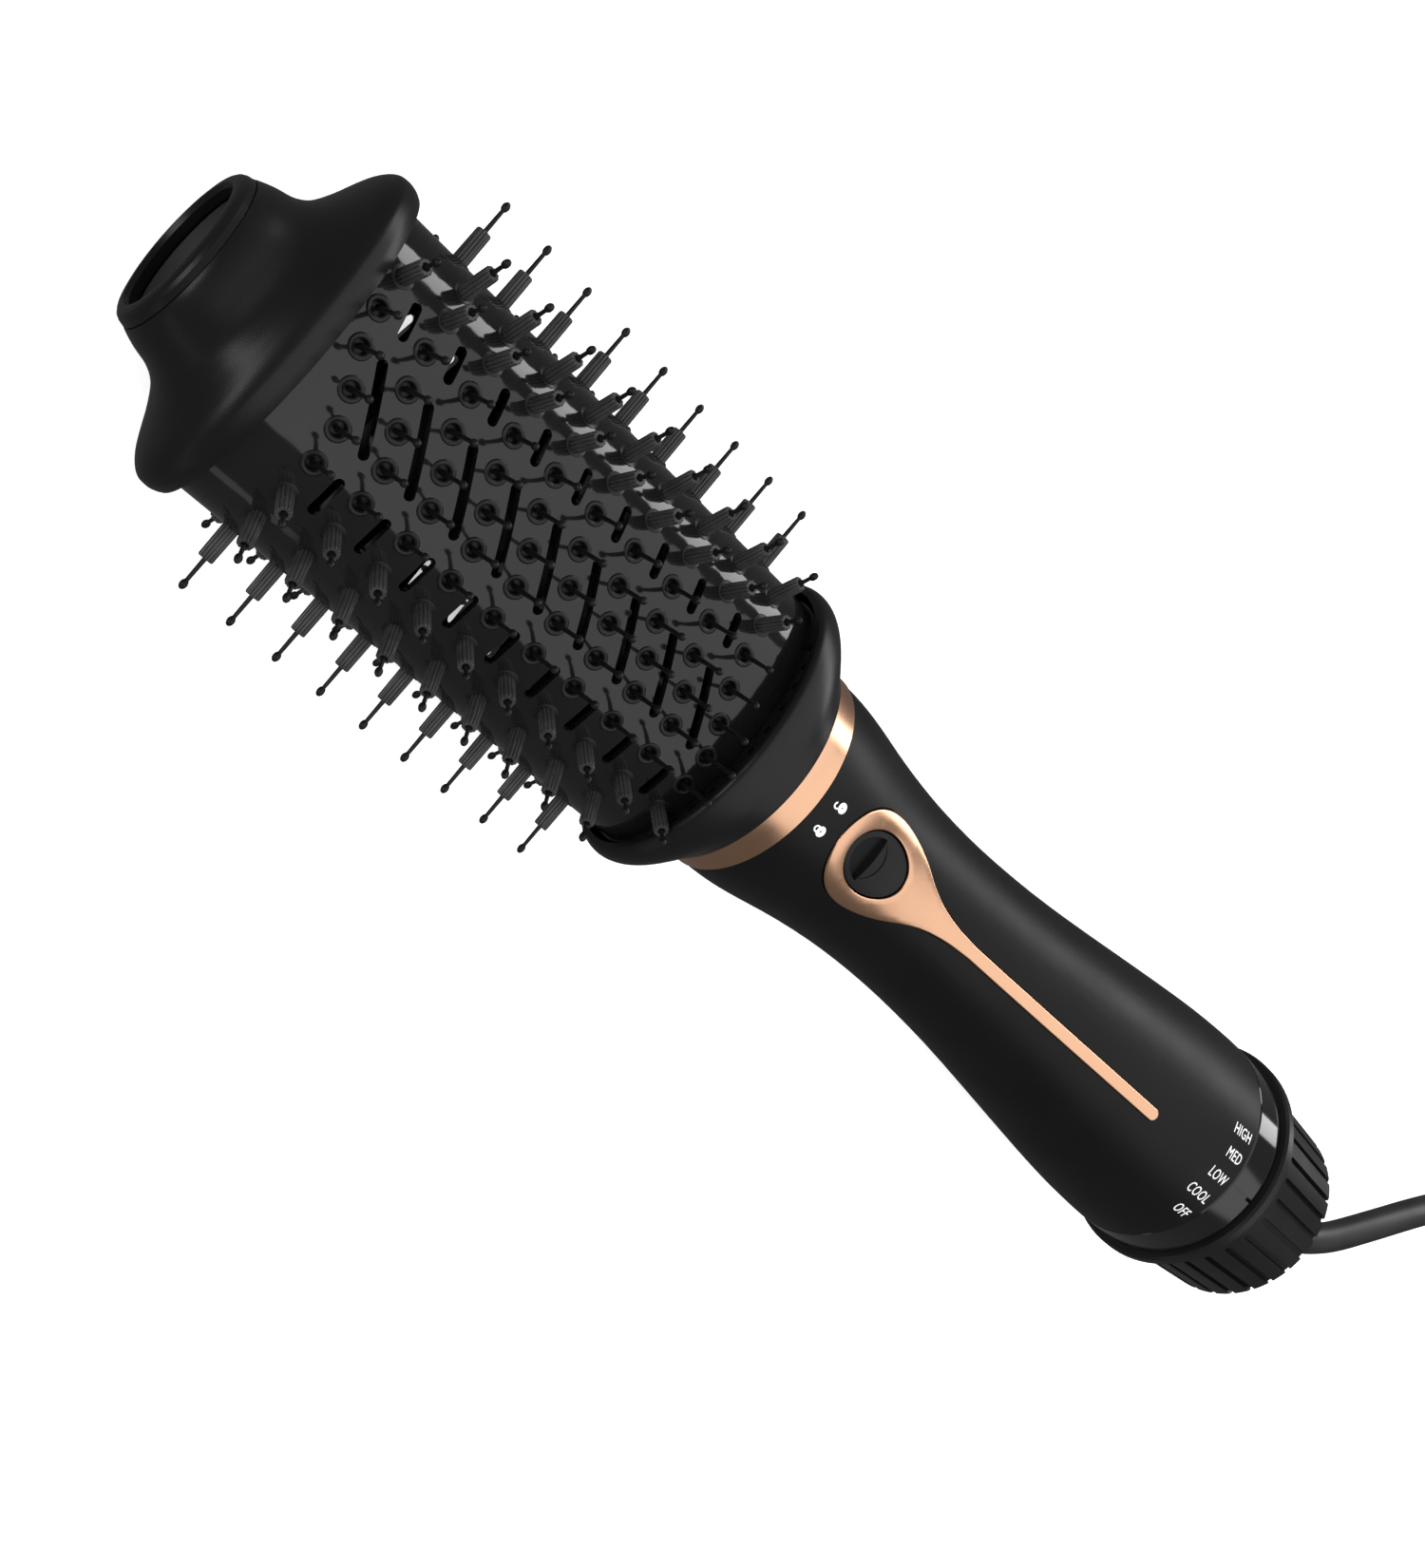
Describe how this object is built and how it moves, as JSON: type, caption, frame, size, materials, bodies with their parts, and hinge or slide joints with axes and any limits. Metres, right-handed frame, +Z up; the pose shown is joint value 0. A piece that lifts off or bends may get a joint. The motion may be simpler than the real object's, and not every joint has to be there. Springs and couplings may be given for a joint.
{
  "type": "hot air brush",
  "caption": "Hot air styling brush with an oval bristled barrel that twists off, a waisted handle, a rear speed dial, a swivel lead and a two-pin plug.",
  "frame": {"origin": "on the resting surface, below the middle of the brush from nose to dial, on the brush's own axis", "axes": "+X along the brush towards the nose, +Z up through the release button, +Y across the flat barrel"},
  "size_m": [0.6691, 0.1064, 0.0576],
  "materials": {
    "gloss_black": "polished moulded black",
    "matte_black": "fine satin black",
    "handle_black": "soft-touch black",
    "inner_black": "plain moulded black",
    "bristle_black": "satin nylon",
    "rose_gold": "metallised rose gold",
    "steel": "bare",
    "nickel": "nickel plated",
    "brass": "bare",
    "mica": "mica board",
    "circuit_green": "lacquered board",
    "cord_rubber": "satin black"
  },
  "bodies": {
    "handle": {"handle_shell_upper": "handle_black", "handle_shell_lower": "handle_black", "handle_screws": "steel", "front_ring": "rose_gold", "teardrop_trim": "rose_gold", "coupling_socket": "inner_black", "heater_tube": "mica", "heater_boards": "mica", "heater_windings": "steel", "thermal_cutout": "steel", "motor_can": "steel", "motor_mount": "inner_black", "fan_shroud": "inner_black", "switch_board": "circuit_green", "tail_tube": "inner_black", "inlet_grille": "matte_black", "inlet_filter": "steel", "cord_tube": "cord_rubber", "cord_coil": "cord_rubber", "cord_tail": "cord_rubber", "plug_body": "cord_rubber", "plug_pins": "nickel"},
    "head": {"barrel": "gloss_black", "bristle_row_01": "bristle_black", "bristle_row_02": "bristle_black", "bristle_row_03": "bristle_black", "bristle_row_04": "bristle_black", "bristle_row_05": "bristle_black", "bristle_row_06": "bristle_black", "bristle_row_07": "bristle_black", "bristle_row_08": "bristle_black", "bristle_row_09": "bristle_black", "bristle_row_10": "bristle_black", "bristle_row_11": "bristle_black", "bristle_row_12": "bristle_black", "bristle_row_13": "bristle_black", "bristle_row_14": "bristle_black", "bristle_row_15": "bristle_black", "bristle_row_16": "bristle_black", "bristle_row_17": "bristle_black", "bristle_row_18": "bristle_black", "bristle_row_19": "bristle_black", "bristle_row_20": "bristle_black", "nose_cap": "matte_black", "nose_rim": "matte_black", "nose_dish": "matte_black", "collar": "matte_black", "vent_ring": "matte_black", "spigot": "inner_black", "barrel_screw": "steel", "air_baffle": "inner_black"},
    "button": {"release_button": "handle_black", "latch_tongue": "steel"},
    "rotor": {"motor_shaft": "steel", "impeller": "inner_black"},
    "dial": {"dial_band": "gloss_black", "dial_grip": "matte_black", "wiper_ring": "brass"},
    "swivel": {"strain_relief": "cord_rubber"}
  },
  "joints": [
    {"name": "head_twist", "type": "hinge", "parent": "handle", "child": "head", "pos_m": [0.026, 0, 0.0288], "axis": [1, 0, 0], "range_deg": [0, 15]},
    {"name": "button_press", "type": "slide", "parent": "handle", "child": "button", "axis": [0, 0, -1], "range_m": [0, 0.0022], "stiffness_N_per_m": 400, "springref_m": -0.001},
    {"name": "fan_spin", "type": "hinge", "parent": "handle", "child": "rotor", "pos_m": [-0.106, 0, 0.0288], "axis": [1, 0, 0], "continuous": true},
    {"name": "dial_turn", "type": "hinge", "parent": "handle", "child": "dial", "pos_m": [-0.132, 0, 0.0288], "axis": [1, 0, 0], "range_deg": [-24, 24]},
    {"name": "cord_swivel", "type": "hinge", "parent": "handle", "child": "swivel", "pos_m": [-0.149, 0, 0.0288], "axis": [1, 0, 0], "continuous": true}
  ]
}
